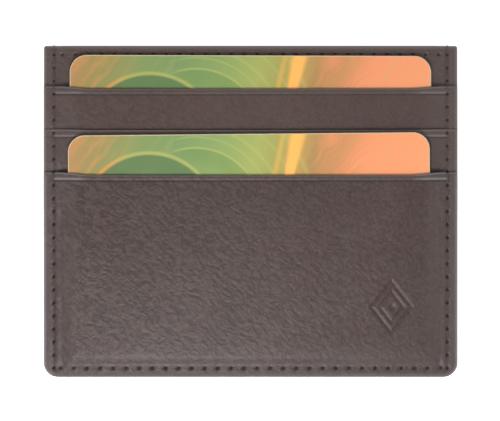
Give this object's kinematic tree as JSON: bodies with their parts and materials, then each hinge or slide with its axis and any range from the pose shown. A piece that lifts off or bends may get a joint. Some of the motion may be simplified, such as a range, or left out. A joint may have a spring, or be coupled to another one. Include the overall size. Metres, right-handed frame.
{
  "type": "minimalist wallet",
  "caption": "Slim brown leather card wallet with shingled slots on both faces, a pocket between the halves, and cards that slide out of the front slots.",
  "frame": {"origin": "centre of the wallet's outline, on the flat surface that its back face lies on", "axes": "+X to the right across the slots, +Y towards the slot mouths, +Z out of the front face"},
  "size_m": [0.098, 0.0788, 0.0062],
  "materials": {
    "leather": "semi-matte taupe brown leather with a fine pebbled grain",
    "strip_leather": "semi-matte taupe brown leather, smoother and a little darker",
    "lining": "plain woven dark brown lining cloth",
    "seam_thread": "twisted brown sewing thread",
    "bag_thread": "thin dark sewing thread",
    "card": "white card core with a glossy printed face in greens and oranges"
  },
  "bodies": {
    "wallet": {"back_pocket_panel": "leather", "back_slot_3_lining": "lining", "back_strip_2": "strip_leather", "back_slot_2_lining": "lining", "back_strip_1": "strip_leather", "back_slot_1_lining": "lining", "back_top_facing": "leather", "back_base_lining": "lining", "front_base_lining": "lining", "front_top_facing": "leather", "front_slot_1_lining": "lining", "front_strip_1": "strip_leather", "front_slot_2_lining": "lining", "front_strip_2": "strip_leather", "front_slot_3_lining": "lining", "front_pocket_panel": "leather", "left_side_thread": "seam_thread", "right_side_thread": "seam_thread", "bottom_thread": "seam_thread", "front_hem_thread": "seam_thread", "back_hem_thread": "seam_thread", "front_bag_1_thread": "bag_thread", "front_bag_2_thread": "bag_thread", "back_bag_1_thread": "bag_thread", "back_bag_2_thread": "bag_thread"},
    "upper_card": {"upper_card": "card"},
    "lower_card": {"lower_card": "card"}
  },
  "joints": [
    {"name": "upper_card_slide", "type": "slide", "parent": "wallet", "child": "upper_card", "axis": [0, 0.9999, 0.0148], "range_m": [0, 0.047]},
    {"name": "lower_card_slide", "type": "slide", "parent": "wallet", "child": "lower_card", "axis": [0, 0.9986, 0.0531], "range_m": [0, 0.0455]}
  ]
}
